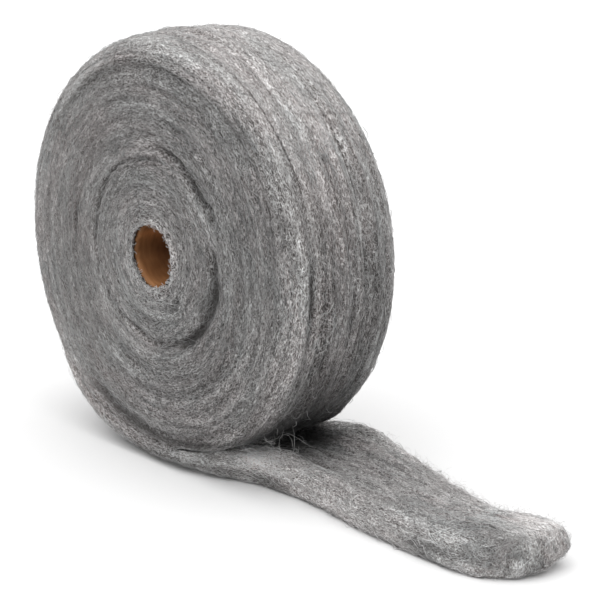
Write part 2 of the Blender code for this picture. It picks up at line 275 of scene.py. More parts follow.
# On the rim, with painted shade by the nip and in creases, and painted light on the shoulder and the upper
# rim: degrees, place across, half-lengths and how much paler
RIM_LIGHT_AND_TONES = (
    (-10, -40.5, 32, 3.4, 0.12),
    (16, -34.5, 12, 2.5, -0.09),
    (-3, -35, 9, 1.8, -0.35),
    (-10, -28, 26, 3, 0.1),
    (2, -15.5, 16, 3, -0.09),
    (-32, -12, 12, 22, -0.12),
    (-52, -14, 8, 26, -0.6),
    (-24, -37, 8, 3, -0.14),
    (0, -11.5, 8, 3, -0.08),
    (-56, 4, 20, 38, -0.56),
    (14, 2, 12, 3, -0.08),
    (-8, 10, 40, 50, -0.045),
    (-8, 34, 26, 16, -0.05),
    (15, 12.5, 8, 2.2, 0.12),
    (24, 16.5, 5, 4, -0.08),
    (12, 25.5, 14, 4, -0.07),
    (40, 10, 26, 30, 0.045),
    (92, 0, 20, 30, 0.045),
)
# On the free end, seen from above, with painted light on its front band by the nip and painted shade behind
# that band, under the roll: millimetres along, place across, half-lengths and how much paler
TAIL_LIGHT_AND_TONES = (
    (72, -22, 28, 16, 0.15),
    (110, -28, 40, 18, 0.11),
    (180, -34, 80, 13, 0.13),
    (74, 22, 26, 16, -0.52),
    (80, 52, 14, 6, 0.15),
    (130, 14, 50, 14, -0.035),
    (230, -12, 60, 8, -0.06),
    (286, -14, 16, 6, -0.08),
    (130, 52, 80, 10, 0.07),
    (268, 20, 24, 13, 0.1),
    (306, 22, 18, 22, 0.17),
    (71, -21, 13, 10, 0.17),
    (66, 30, 13, 12, -0.35),
    (66, -14, 22, 10, 0.12),
    (92, 36, 12, 8, -0.15),
    (70, 9, 14, 7, -0.4),
)
# On the front side of the free end, with painted shade low down by the nip and painted light low down near
# the tip: millimetres along, height, half-lengths and how much paler
TAIL_FRONT_LIGHT_AND_TONES = (
    (84, 4, 24, 6, -0.32),
    (82, 10, 14, 5, -0.22),
    (242, 7, 10, 3.5, -0.2),
    (250, 2, 12, 3, -0.12),
    (252, 11, 36, 3, -0.1),
    (262, 18, 18, 4, 0.08),
    (286, 3, 22, 5.5, 0.18),
    (302, 4, 8, 7, 0.08),
    (150, 12, 45, 10, 0.04),
)
# On the end face of the free end, with a painted highlight on its fold and painted shade low down:
# millimetres across, height, half-lengths and how much paler
TAIL_END_LIGHT_AND_TONES = (
    (-2, 12, 2, 20, 0.04),
    (12, 5, 9, 8, -0.16),
)

# Painted light in the bore: darker on its left, paler on its upper left near the front. On the board:
# degrees, place along the axis, half-lengths and how much paler
BOARD_PAINTED_LIGHT = (
    (182, 0, 16, 80, -0.08),
    (146, -30, 14, 30, 0.15),
)

# The painted light, shade and tones of the free end's front side come in over this width from its middle
FRONT_BLEND = 0.02

# Loose fibres: piece, where they lie, how many, seed, how far they stand out and share of the width
FIBRES = (
    ("front_fibres", "front", 6400, 11, 0.0004, 1.0),
    ("back_fibres", "back", 3300, 12, 0.0004, 1.0),
    ("rim_fibres", "rim", 6500, 13, 0.0005, 1.0),
    ("tail_fibres", "tail", 5500, 15, 0.0006, 1.15),
)
FIBRE_POINTS = 7
FIBRE_WIDTH = 0.00024
FIBRE_WIDTH_SHARES = (0.7, 1.4)
FIBRE_LENGTHS = (0.0096, 0.0224)
FIBRE_WAVES = (0.9, 2.2)
FIBRE_STRAY = 0.42
FIBRE_CURL = 0.65
FIBRE_SCATTER = 0.0008
FIBRE_RISE = 0.0005
FIBRE_ROOT = 0.0004
ARCH_POWER = 0.7

# Free curls: where they start, how many, length, how far they stand out and how much they bend
EDGE_FUZZ = (
    ("behind", 600, 0.01, 0.9, 0.5),
    ("behind, outer half", 850, 0.01, 0.9, 0.5),
    ("behind, tip", 350, 0.011, 1.1, 0.5),
    ("rim", 340, 0.007, 0.6, 0.5),
)
EDGE_FUZZ_WIDTH = 0.5
STRAY_CURLS = (("nip", 30, 0.03, 0.9, 0.55),)
STRAY_CURLS_WIDTH = 0.95
HUB_CURLS = (("lip", 900, 0.005, 1.0, 0.6),)
HUB_CURLS_WIDTH = 1.15
CURL_SEED = 41
CURL_POINTS = 10
CURL_LENGTH_SHARES = (0.6, 1.3)
CURL_STRAY = 0.5
CURL_WANDER = 0.35
CURL_ROOT = 0.0006
CURL_LOWEST = 0.0003

# Bounds of the places where fibres start, and how strongly hollows keep them away
FACE_NORMAL = 0.7
LIP_NORMAL = 0.3
BEHIND_NORMAL = 0.3
UNDERSIDE_NORMAL = -0.2
BEHIND_FROM = 0.07
OUTER_HALF_FROM = 0.16
TIP_FROM = 0.23
NIP_BOX = ((0.06, -0.04, 0.018), (0.105, 0.0, 0.05))
BARE_HOLLOWS = 3.0

# Tones of the fibres, and how much they follow the painted light, shade and tone of the wool under them
MIDDLE_TONE = 0.5
CURL_TONE = 0.95
TONE_SPREAD = 0.22
FIBRE_LIGHT_AND_TONE = 0.8

# Doublings of the brightness for a tone of 1
TONE_STOPS = 6.0

# Contrast of the wool: on the face far to the left, where the photograph is less sharp, and to the right,
# and how much of it is left on top of the rim and on the free end
LEFT_CONTRAST = 0.62
RIGHT_CONTRAST = 1.12
CONTRAST_SPAN = (-0.11, 0.03)
TOP_CONTRAST = 0.62
TOP_SPAN = (0.1, 0.25)
TAIL_CONTRAST = 0.78

# How much of the rim's streaks is gone on top, and the sines of the angles over which they go
STREAKS_FADED = 0.6
STREAKS_FADE = (0.4, 0.9)

# The free end's end face, by the part of its normals along x
END_FACE_NORMALS = (0.5, 0.8)

# Patterns of the wool: length and width in metres, shift, and a line's thickness or the detail
STRANDS = (
    (0.0048, 0.0013, 0.0, 0.048),
    (0.0032, 0.0018, 31.0, 0.04),
    (0.0075, 0.0011, 67.0, 0.04),
    (0.004, 0.001, 93.0, 0.04),
)
STRAND_DISTORTION = 0.3
FINE_GRAIN = (0.0024, 0.0008, 12.0, 1.0)
COARSE_GRAIN = (0.035, 0.003, 40.0, 2.0)
BANDS = (0.12, 0.0085, 90.0, 1.0)
STREAKS = (0.11, 0.0024, 519.0, 1.0)
WOOL_BLOTCHES = (0.07, 0.018, 140.0, 2.0)

# How the patterns add up
LINES_SHARE = 0.38
COARSE_SHARE = 0.45
DRIFT_DEPTH = 0.8
MIDDLE_VALUE = 0.46
STREAKS_REACH = 0.47
STREAKS_DEPTH = 0.7

# Greys of the wool: place in the pattern, grey and warmth
WOOL_GREYS = (
    (0.14, 0.03, 0.14),
    (0.26, 0.08, 0.12),
    (0.4, 0.235, 0.075),
    (0.54, 0.47, 0.022),
    (0.72, 0.76, 0.0),
    (0.95, 0.95, 0.0),
)
BLUE_LOSS = 0.35
WOOL_TINTS = ((0.4, (0.985, 1.0, 0.997)), (0.6, (1.03, 1.0, 0.997)))
# Painted shade of the creases: the near-black they are darkened towards, and how much of it at most
CREASE_SHADE_COLOUR = (0.03, 0.027, 0.025, 1.0)
CREASE_SHADE_SHARE = 0.6
FIBRE_GREYS = ((0.0, 0.14), (0.5, 0.5), (1.0, 0.85))
FIBRE_TINTS = ((0.4, (0.99, 1.0, 1.0)), (0.62, (1.03, 1.0, 0.995)))
FIBRE_BLOTCHES = (22.0, 22.0, 22.0)

# Browns of the board. Its outer side, which lies in the wool, is painted near-black as shade, and its cut
# ends fade to that, which paints the shade under the wool's edge
BOARD_BROWNS = ((0.35, (0.26, 0.118, 0.048)), (0.65, (0.42, 0.205, 0.09)))
BOARD_TINTS = ((0.3, (0.78, 0.74, 0.68)), (0.7, (1.12, 1.1, 1.05)))
BOARD_SHADE = (0.03, 0.02, 0.014, 1.0)
BOARD_FIBRES = (70.0, 300.0, 70.0)
BOARD_BLOTCHES = (45.0, 45.0, 45.0)

# Camera, fitted to the outline of the roll in the photograph
CAMERA_PLACE = (1.0627, -0.8632, AXIS_HEIGHT + 0.3642)
CAMERA_YAW = math.radians(48.13)
CAMERA_PITCH = math.radians(16.51)
CAMERA_LENS = 118.5
CAMERA_SENSOR = 36.0

# Light of the surroundings and from above, and the floor
FILL_LIGHT = 0.63
OVERHEAD_STRENGTH = 2.0
OVERHEAD_BREADTH = math.radians(80.0)
OVERHEAD_WAY = (-0.14, 0.24, -1.0)
FLOOR_SIZE = 8.0
FLOOR_DROP = 0.0003
FLOOR_GREY = 0.26
FLOOR_WHITE = 0.98


def smoothstep(value):
    value = np.clip(value, 0.0, 1.0)
    return value * value * (3 - 2 * value)


def rising(value, start, end):
    return smoothstep((value - start) / (end - start))


def bell(value):
    return np.exp(-(value**2))


def curve_through(place, stops, values):
    """Smooth curve that takes the values at the stops."""
    stops, values = np.array(stops), np.array(values)
    slopes = np.gradient(values, stops)
    k = np.clip(np.searchsorted(stops, place) - 1, 0, len(stops) - 2)
    span = stops[k + 1] - stops[k]
    share = np.clip((place - stops[k]) / span, 0.0, 1.0)
    leaving = share * (1 - share) ** 2 * span * slopes[k]
    arriving = share**2 * (share - 1) * span * slopes[k + 1]
    return values[k] + (values[k + 1] - values[k]) * smoothstep(share) + leaving + arriving


def ripples(angle, place, count, shortest, longest, slant, seed):
    """Wavy bands along the winding, about 1 high. place runs across them, in the unit of their lengths."""
    rng = np.random.default_rng(seed)
    total = np.zeros(np.broadcast(angle, place).shape)
    for _ in range(count):
        length = rng.uniform(shortest, longest)
        around = rng.integers(-slant, slant + 1)
        total += np.sin(around * angle + 2 * math.pi * place / length + rng.uniform(0, 2 * math.pi))
    return total / math.sqrt(count / 2)


def waves(angle, place, table):
    """Sum of ripples. Each row of the table gives their height and then how they are made."""
    return sum(height * ripples(angle, place, *made) for height, *made in table)


def patches(table, along, across, wraps=False):
    """Sum of soft patches at places along the winding or the free end and across it."""
    total = np.zeros(len(along))
    for middle_along, middle_across, half_length, half_width, amount in table:
        away = along - middle_along
        if wraps:
            away = (away + 180) % 360 - 180
        total += amount * bell(away / half_length) * bell((across - middle_across) / half_width)
    return total


# Form of the strip


def layer_radius(turn):
    return FIRST_RADIUS + LAYER_THICKNESS * np.maximum(turn, 0.0)


def winding_angle(turn):
    return NIP_ANGLE + 2 * math.pi * (turn - TURNS)


def release(turn):
    return smoothstep((turn - (TURNS - 1)) / RELEASE_SPAN)


def swell(turn):
    return SWELL * smoothstep((turn - (TURNS - SWELL_START)) / SWELL_RISE)


def rim_radius(turn):
    outermost = TURNS - (TURNS - turn) % 1.0
    covering = (LAYER_THICKNESS + SWELL) * (1 - release(outermost))
    return layer_radius(outermost) + swell(outermost) + covering


def shoulder_inset(radius, rim):
    past = np.clip(radius - (rim - SHOULDER_RADIUS), 0.0, SHOULDER_RADIUS)
    return SHOULDER_RADIUS - np.sqrt(SHOULDER_RADIUS**2 - past**2)


def groove_depth(turn):
    outer = bell((turn - OUTER_GROOVE_TURN) / OUTER_GROOVE_SPREAD)
    depth = GROOVE_DEPTH + (OUTER_GROOVE_DEPTH - GROOVE_DEPTH) * outer
    return depth * (1 - release(turn))


def seated(radius, angle):
    below = -radius * np.sin(angle)
    pressed = np.maximum(below - SAG_FROM, 0.0) / (LOWEST_RADIUS - SAG_FROM)
    return radius * np.cos(angle), np.maximum(AXIS_HEIGHT - below + SAG * pressed**2, 0.0)


def edge_shares():
    return (1 - np.cos(np.pi * np.arange(EDGE_STEPS + 1) / EDGE_STEPS)) / 2


def rings(front, outer, back, inner):
    """Closed cross-sections, one a row: front edge outwards, across the outer side, back edge inwards,
    across the inner side."""
    return np.concatenate([front, outer, back[:, ::-1], inner], axis=1)


def across_shares():
    return (np.arange(1, ACROSS_STEPS) / ACROSS_STEPS)[None, :]


def between(start, end):
    """Points across the strip from start to end, without both ends, for each row."""
    return start[:, None] + (end - start)[:, None] * across_shares()[:, :, None]


def wound_rings():
    turn = (np.arange(TURNS * STEPS_PER_TURN + 1) / STEPS_PER_TURN)[:, None]
    share = edge_shares()[None, :]
    angle = winding_angle(turn)
    rim = rim_radius(turn)
    inner_radius = layer_radius(turn - 1)
    outer_radius = layer_radius(turn) + swell(turn)
    radius = inner_radius + (outer_radius - inner_radius) * share
    inner_groove = groove_depth(np.maximum(turn - 1, 0.0))
    groove = inner_groove + (groove_depth(turn) - inner_groove) * share
    crest = (1 - np.abs(2 * share - 1) ** CREST_POWER) * np.minimum(turn, 1.0)
    y = HALF_WIDTH - shoulder_inset(radius, rim) - groove * (1 - crest)
    x, z = seated(radius, angle)
    front = np.stack([x, -y, z], axis=2)
    back = np.stack([x, y, z], axis=2)

    across = across_shares()
    crown = RIM_CROWN * release(turn) * np.sin(np.pi * across)
    rim_x, rim_z = seated(outer_radius + crown, angle)
    outer = np.stack([rim_x, y[:, -1:] * (2 * across - 1), rim_z], axis=2)
    return rings(front, outer, back, between(back[:, 0], front[:, 0]))


def roll_clearance(x, y):
    """Height of the roll's underside above the floor, with its rounded shoulders."""
    turns = np.linspace(TURNS - 1, TURNS - 0.75, RIM_SAMPLES)
    across = np.clip(HALF_WIDTH - np.abs(y), 0.0, SHOULDER_RADIUS) / SHOULDER_RADIUS
    total = 0.0
    for k in range(SHOULDER_SAMPLES):
        sample = k / (SHOULDER_SAMPLES - 1)
        drop = SHOULDER_RADIUS * (1 - math.sqrt(1 - (1 - sample) ** 2))
        radius = np.minimum(layer_radius(turns), rim_radius(turns) - drop) + RIM_CROWN * release(turns)
        xs, zs = seated(radius, winding_angle(turns))
        weight = np.clip(1 - np.abs(across - sample) * (SHOULDER_SAMPLES - 1), 0.0, 1.0)
        total = total + weight * np.interp(x, xs, zs)
    return total


def tail_share(x):
    nip_x = seated(layer_radius(TURNS - 1), NIP_ANGLE)[0]
    return np.clip((x - nip_x) / (TAIL_REACH - nip_x), 0.0, 1.0)


def at_end(share):
    return smoothstep((share - END_FROM) / (1 - END_FROM))


def tail_edges(x):
    """Middle and half-width of the free end, seen from above."""
    front, back = curve_through(x, TAIL_STOPS, TAIL_FRONT), curve_through(x, TAIL_STOPS, TAIL_BACK)
    return (back + front) / 2, (back - front) / 2


def side_inset(place, slope):
    """How far a side of the free end draws in. place is 0 at its top and 1 on the floor."""
    up = np.clip((1 - SIDE_WIDEST - place) / (1 - SIDE_WIDEST), 0.0, 1.0)
    down = np.clip((place - 1 + SIDE_WIDEST) / SIDE_WIDEST, 0.0, 1.0)
    return slope * (1 - np.sqrt(1 - up**2)) + UNDERCUT * (1 - np.sqrt(1 - down**2))


def tail_top(x, y, nip_z):
    """Height of the free end's upper side."""
    share = tail_share(x)
    middle, half_width = tail_edges(x)
    across = (y - middle) / half_width
    trough = bell((across - TROUGH_ACROSS) / TROUGH_SPREAD)
    trough = trough * (1 - smoothstep((share - TROUGH_FROM) / TROUGH_FADE))
    raised = bell((across - BACK_RISE_ACROSS) / BACK_RISE_SPREAD)
    raised = raised * bell((x - BACK_RISE_AT) / BACK_RISE_LENGTH)
    full = TAIL_THICKNESS + END_RISE * at_end(share) + BACK_RISE * raised - TROUGH_DEPTH * trough
    room = NIP_FILL * np.maximum(roll_clearance(x, y) - nip_z, 0.0)
    return nip_z + (full - nip_z) * np.tanh(room / (full - nip_z))


def tail_point(x, y, upward, nip_z):
    """Points of the free end at y, on the floor for upward 0 and on the upper side for upward 1."""
    share = tail_share(x)
    middle, half_width = tail_edges(x)
    bottom = END_LIFT * smoothstep((y - middle) / half_width) * at_end(share) ** 2
    outwards = np.clip(1 - (y - middle + half_width) / CORNER_WIDTH, 0.0, 1.0)
    drawn_back = CORNER_LENGTH * (1 - np.sqrt(1 - outwards**2)) * at_end(share)
    z = bottom + (tail_top(x, y, nip_z) - bottom) * upward
    return np.stack([x - drawn_back, y, z], axis=2)


def tail_rings(nip_ring):
    nip_x, _, nip_z = nip_ring[0]
    nose_x = TAIL_REACH - TAIL_NOSE
    straight_x = nip_x + (nose_x - nip_x) * np.arange(1, TAIL_STEPS + 1) / TAIL_STEPS
    passed = np.sin(np.pi / 2 * np.arange(1, NOSE_STEPS + 1) / NOSE_STEPS) * NOSE_END
    x = np.concatenate([straight_x, nose_x + TAIL_NOSE * passed])[:, None]
    nose = (1 - passed**NOSE_POWER) ** (1 / NOSE_POWER)
    rounded = np.concatenate([np.ones(TAIL_STEPS), nose])[:, None]
    middle, half_width = tail_edges(x)
    half_width = half_width - TAIL_NOSE * (1 - rounded)
    parted = smoothstep(tail_share(x) / TAIL_PARTING)

    place = edge_shares()[None, :]
    nip_inset = HALF_WIDTH + nip_ring[None, : EDGE_STEPS + 1, 1]
    upward = (1 + rounded * (1 - 2 * place)) / 2
    edges = []
    for side, slope in ((-1, FRONT_SLOPE), (1, BACK_SLOPE)):
        inset = nip_inset + (side_inset(place, slope) - nip_inset) * parted
        edges.append(tail_point(x, middle + side * (half_width - inset), upward, nip_z))
    front, back = edges

    across = across_shares()
    spans = []
    for start, end, height in ((front, back, (1 - rounded) / 2), (back, front, (1 + rounded) / 2)):
        column = 0 if start is back else -1
        first, last = start[:, column, 1][:, None], end[:, column, 1][:, None]
        spans.append(tail_point(x, first + (last - first) * across, height, nip_z))
    lower, upper = spans
    return rings(front, lower, back, upper)


def strip_faces(rows, columns):
    """Quads between neighbouring cross-sections, without those that lie between two turns."""
    step, column = np.meshgrid(np.arange(rows - 1), np.arange(columns), indexing="ij")
    outer = (column >= EDGE_STEPS) & (column < EDGE_STEPS + ACROSS_STEPS)
    inner = column >= 2 * EDGE_STEPS + ACROSS_STEPS
    nip = TURNS * STEPS_PER_TURN
    hidden = outer & (step < nip - STEPS_PER_TURN)
    hidden |= inner & (step >= STEPS_PER_TURN) & (step < nip)
    step, column = step[~hidden], column[~hidden]
    here, there, following = step * columns, (step + 1) * columns, (column + 1) % columns
    return np.stack([here + column, there + column, there + following, here + following], axis=1)


def tip_faces(first, columns):
    """Faces over the last cross-section: a polygon at each edge and quads between its two sides."""
    back = range(EDGE_STEPS + ACROSS_STEPS, 2 * EDGE_STEPS + ACROSS_STEPS + 1)
    faces = [[first + column for column in edge] for edge in (range(EDGE_STEPS + 1), back)]
    for k in range(ACROSS_STEPS):
        low, high = EDGE_STEPS + k, columns - k
        corners = (low, low + 1, high - 1, high % columns)
        faces.append([first + column for column in corners])
    return faces


def wool_form():
    """The strip's smooth form as one closed mesh, with how far along the free end each point lies."""
    wound = wound_rings()
    tail = tail_rings(wound[-1])
    grid = np.concatenate([wound, tail])
    rows, columns = grid.shape[:2]
    share = np.zeros((rows, columns))
    share[len(wound) :] = tail_share(tail[:, :1, 0])
    share[-NOSE_STEPS:] = 1.0
    mesh = bpy.data.meshes.new("steel_wool")
    faces = [*strip_faces(rows, columns).tolist(), *tip_faces((rows - 1) * columns, columns)]
    mesh.from_pydata(grid.reshape(-1, 3), [], faces)
    set_attribute(mesh, "tail_share", share.ravel())
    weld(mesh)
    return mesh


def weld(mesh):
    bm = bmesh.new()
    bm.from_mesh(mesh)
    bmesh.ops.remove_doubles(bm, verts=bm.verts, dist=WELD_DISTANCE)
    bmesh.ops.delete(bm, geom=[v for v in bm.verts if not v.link_faces], context="VERTS")
    bmesh.ops.triangulate(bm, faces=[f for f in bm.faces if len(f.verts) > 4])
    bmesh.ops.recalc_face_normals(bm, faces=bm.faces)
    bm.to_mesh(mesh)
    bm.free()


# Meshes and objects


def add_object(name, data):
    added = bpy.data.objects.new(name, data)
    bpy.context.scene.collection.objects.link(added)
    return added


def add_piece(name, mesh, material):
    mesh.materials.append(material)
    mesh.shade_smooth()
    piece = add_object(name, mesh)
    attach(piece, "root")
    return piece


def set_attribute(mesh, name, values):
    """Store a number or a vector for each point of the mesh."""
    values = np.asarray(values, np.float32)
    kind, key = ("FLOAT", "value") if values.ndim == 1 else ("FLOAT_VECTOR", "vector")
    mesh.attributes.new(name, kind, "POINT").data.foreach_set(key, values.ravel())


def read(items, key, kind=float):
    """One number of each item, such as its area."""
    values = np.zeros(len(items), np.int32 if kind is int else np.float32)
    items.foreach_get(key, values)
    return values.astype(kind)


def read_vectors(items, key):
    values = np.zeros(len(items) * 3, np.float32)
    items.foreach_get(key, values)
    return values.reshape(-1, 3).astype(float)


def unit(vectors):
    return vectors / np.maximum(np.linalg.norm(vectors, axis=-1, keepdims=True), 1e-12)


def polar(points):
    """Distance from the roll's axis and angle round it."""
    x, z = points[:, 0], points[:, 2] - AXIS_HEIGHT
    return np.hypot(x, z), np.arctan2(z, x)


# Surface of the wool


def crease_depth(creases, along, across):
    """Depth of the creases at places along the winding or the free end and across it."""
    depth = np.zeros(len(along))
    jitter = waves(np.radians(along), 0 * along, CREASE_WAVES)
    for stops, places, half_width, deepest in creases:
        turned = stops[0] + (along - stops[0]) % 360.0
        path = np.interp(turned, stops, places) + jitter
        fade = smoothstep((turned - stops[0]) / CREASE_FADE)
        fade *= smoothstep((stops[-1] - turned) / CREASE_FADE)
        depth += deepest * fade * bell((across - path) / half_width)
    return depth


def rim_furrows(degrees, y):
    """Depth of the broad furrows at places round the rim and across it."""
    turned = FURROW_STOPS[0] + (degrees - FURROW_STOPS[0]) % 360.0
    depth = np.zeros(len(y))
    for places, depths in RIM_FURROWS:
        middle = np.interp(turned, FURROW_STOPS, places)
        depth += np.interp(turned, FURROW_STOPS, depths) * bell((y - middle) / FURROW_HALF_WIDTH)
    return depth * FURROW_SHARE


def rim_wrinkles(angle, y):
    """Depth of the fine creases that wander round the rim and come and go."""
    shown = smoothstep(ripples(angle, y, *WRINKLE_SPELLS))
    return WRINKLE_DEPTH * shown * bell(ripples(angle, y, *WRINKLE_PATHS) / WRINKLE_WIDTH)


def roll_relief(points, on_face):
    """How far the roll's surface stands out before its creases are taken off, and how deep they are."""
    radius, angle = polar(points)
    degrees, radius, y = np.degrees(angle), radius / MM, points[:, 1] / MM
    face = waves(angle, radius + FACES_APART * np.sign(y), FACE_WAVES)
    rim = waves(angle, y, RIM_WAVES) + patches(RIM_FORM, degrees, y, wraps=True)
    rim -= rim_furrows(degrees, y) + FIBRE_COVER
    rim_creases = crease_depth(RIM_CREASES, degrees, y) + rim_wrinkles(angle, y)
    creases = crease_depth(FACE_CREASES, degrees, radius) * on_face + rim_creases * (1 - on_face)
    return face * on_face + rim * (1 - on_face), creases


def across_tail(points):
    """Place across the free end, stretched to the full width of the strip."""
    middle, half_width = tail_edges(points[:, 0])
    return (points[:, 1] - middle) / half_width * HALF_WIDTH


def tail_relief(points, normals):
    """The same for the surface of the free end."""
    turned = points[:, 0] / TAIL_WAVE_RADIUS
    near_tip = rising(points[:, 0], TAIL_REACH - 2 * TAIL_NOSE, TAIL_REACH - TAIL_NOSE)
    x, y, z = points.T / MM
    bumps = waves(turned, across_tail(points) / MM, TAIL_WAVES) - FIBRE_COVER
    bumps = bumps * (1 - TIP_CALM * near_tip) + patches(TAIL_FORM, x, y)
    creases = crease_depth(TAIL_TOP_CREASES, x, y) * np.maximum(normals[:, 2], 0.0) ** 2
    creases += crease_depth(TAIL_SIDE_CREASES, x, z) * np.maximum(-normals[:, 1], 0.0)
    return bumps, creases


def relief(points, normals, share):
    """How far the matted surface stands out of the smooth form and how deep its creases are, in mm."""
    roll_bumps, roll_creases = roll_relief(points, normals[:, 1] ** 2)
    tail_bumps, tail_creases = tail_relief(points, normals)
    on_tail = share > 0
    creases = np.where(on_tail, tail_creases, roll_creases)
    return np.where(on_tail, tail_bumps, roll_bumps) - creases, creases


def lap_over_core(points):
    """Draw the wool's inner edge in over the ends of the core."""
    radius, angle = polar(points)
    near_end = rising(np.abs(points[:, 1]), LIP_FROM, LIP_FULL)
    near_bore = smoothstep(1 - (radius - FIRST_RADIUS) / LIP_SPREAD)
    ragged = 1 + waves(angle, 0 * angle, LIP_WAVES) + LIP_SIDEWAYS * np.cos(angle - LIP_SIDE)
    drawn = radius - LIP * ragged * near_end * near_bore
    scale = np.where(radius < FIRST_RADIUS + LIP_SPREAD, drawn / radius, 1.0)
    points[:, 0] *= scale
    points[:, 2] = AXIS_HEIGHT + (points[:, 2] - AXIS_HEIGHT) * scale
    return points


def strand_coordinates(points, normals, share):
    """(x, y, z) and depth. x and z vary slowly along the fibres, y and depth fast across them. On the end
    face the fibres run down to the floor."""
    on_tail = share > 0
    end_face = rising(normals[:, 0], *END_FACE_NORMALS)
    across = np.where(on_tail, across_tail(points), points[:, 1])
    depth = np.where(on_tail, AXIS_HEIGHT - points[:, 2] * (1 - end_face), polar(points)[0])
    height = np.where(on_tail, points[:, 2] * end_face, points[:, 2])
    return np.stack([points[:, 0], across, height], axis=1), depth


def contrast(points, normals, share):
    """Contrast of the wool, lower far to the left, on top of the rim and on the free end."""
    value = LEFT_CONTRAST + (RIGHT_CONTRAST - LEFT_CONTRAST) * rising(points[:, 0], *CONTRAST_SPAN)
    on_rim = 1 - normals[:, 1] ** 2
    value *= 1 - (1 - TOP_CONTRAST) * rising(points[:, 2], *TOP_SPAN) * on_rim
    return np.where(share > 0, value * TAIL_CONTRAST, value)


def streakiness(points, normals, share):
    """How strongly the dark streaks show: on the rim alone, and less on its top."""
    upward = rising(np.sin(polar(points)[1]), *STREAKS_FADE)
    return (1 - normals[:, 1] ** 2) * (1 - STREAKS_FADED * upward) * (share == 0)


def paleness(points, normals, share):
    """How much paler, or darker where negative, the wool is at each point: painted light and shade, such as
    painted shade in the creases and by the nip, together with the wool's own tones.
    """
    x, y, z = points.T / MM
    radius, angle = polar(points)
    degrees = np.degrees(angle)
    on_face = normals[:, 1] ** 2
    face = patches(FACE_LIGHT_AND_TONES, degrees, radius / MM, wraps=True)
    rim = patches(RIM_LIGHT_AND_TONES, degrees, y, wraps=True)
    in_front = rising(-across_tail(points), 0.0, FRONT_BLEND)
    tail = patches(TAIL_LIGHT_AND_TONES, x, y) + patches(TAIL_FRONT_LIGHT_AND_TONES, x, z) * in_front
    tail += patches(TAIL_END_LIGHT_AND_TONES, y, z) * np.maximum(normals[:, 0], 0.0)
    return np.where(share > 0, tail, face * on_face + rim * (1 - on_face))


def make_wool(material):
    mesh = wool_form()
    points = read_vectors(mesh.vertices, "co")
    normals = read_vectors(mesh.vertex_normals, "vector")
    share = read(mesh.attributes["tail_share"].data, "value")
    strand, depth = strand_coordinates(points, normals, share)
    height, creases = relief(points, normals, share)
    height[polar(points)[0] < FIRST_RADIUS + BORE_MARGIN] = 0.0
    moved = lap_over_core(points + normals * (height * MM)[:, None])
    moved[:, 2] = np.maximum(moved[:, 2], 0.0)
    mesh.vertices.foreach_set("co", np.asarray(moved, np.float32).ravel())
    mesh.update()
    set_attribute(mesh, "strand", strand)
    set_attribute(mesh, "strand_depth", depth)
    # Painted shade of the creases, by their depth; the same value keeps fibres out of them
    set_attribute(mesh, "hollow", np.minimum(creases / HOLLOW_DEPTH, 1.0))
    # Painted light and shade, among the wool's own tones
    set_attribute(mesh, "pale", paleness(points, normals, share))
    set_attribute(mesh, "contrast", contrast(points, normals, share))
    set_attribute(mesh, "streaked", streakiness(points, normals, share))
    return add_piece("steel_wool", mesh, material)


# Loose fibres


def surface_samples(mesh):
    """Centres, normals and free-end shares of the wool's faces, and how many fibres start on each."""
    corner = read(mesh.loops, "vertex_index", int)[read(mesh.polygons, "loop_start", int)]
    share = read(mesh.attributes["tail_share"].data, "value")[corner]
    hollow = read(mesh.attributes["hollow"].data, "value")[corner]
    weights = read(mesh.polygons, "area") * np.clip(1 - BARE_HOLLOWS * hollow, 0.0, 1.0)
    centres, normals = read_vectors(mesh.polygons, "center"), read_vectors(mesh.polygons, "normal")
    return centres, normals, weights, share


def fibre_places(samples):
    """Where each kind of fibre starts, as masks over the wool's faces."""
    centres, normals, _, share = samples
    x, y, z = centres.T
    radius = polar(centres)[0]
    low, high = NIP_BOX
    open_air = (radius > FIRST_RADIUS - LIP) & (z > MM)
    open_air &= (np.abs(y) > LIP_FROM + MM) | (radius > FIRST_RADIUS + MM)
    roll, tail = open_air & (share == 0), open_air & (share > 0)
    front, back = roll & (normals[:, 1] < -FACE_NORMAL), roll & (normals[:, 1] > FACE_NORMAL)
    behind = tail & (x > BEHIND_FROM) & (normals[:, 1] > BEHIND_NORMAL) & (normals[:, 2] > UNDERSIDE_NORMAL)
    return {
        "front": front,
        "back": back,
        "rim": roll & ~front & ~back,
        "tail": tail,
        "behind": behind,
        "behind, outer half": behind & (x > OUTER_HALF_FROM),
        "behind, tip": behind & (x > TIP_FROM),
        "nip": open_air & np.all((centres > low) & (centres < high), axis=1),
        "lip": open_air & (radius < FIRST_RADIUS) & (np.abs(normals[:, 1]) > LIP_NORMAL),
    }


def pick(rng, mask, weights, count):
    """Faces on which fibres start, drawn by their weights."""
    chosen = np.flatnonzero(mask)
    return rng.choice(chosen, count, p=weights[chosen] / weights[chosen].sum())


def heading(points, on_tail):
    """Direction of the winding at each point."""
    x, z = points[:, 0], points[:, 2] - AXIS_HEIGHT
    around = np.stack([-z, 0 * x, x], axis=1)
    slope = (tail_edges(x + MM)[0] - tail_edges(x)[0]) / MM
    along = np.stack([np.ones(len(x)), slope, 0 * x], axis=1)
    return unit(np.where(on_tail[:, None], along, around))


def snap(tree, points):
    """Nearest points of the wool and its normals there."""
    found = [tree.find_nearest(Vector(point)) for point in points.tolist()]
    places = np.array([place for place, _, _, _ in found])
    normals = np.array([normal for _, normal, _, _ in found])
    return places, normals


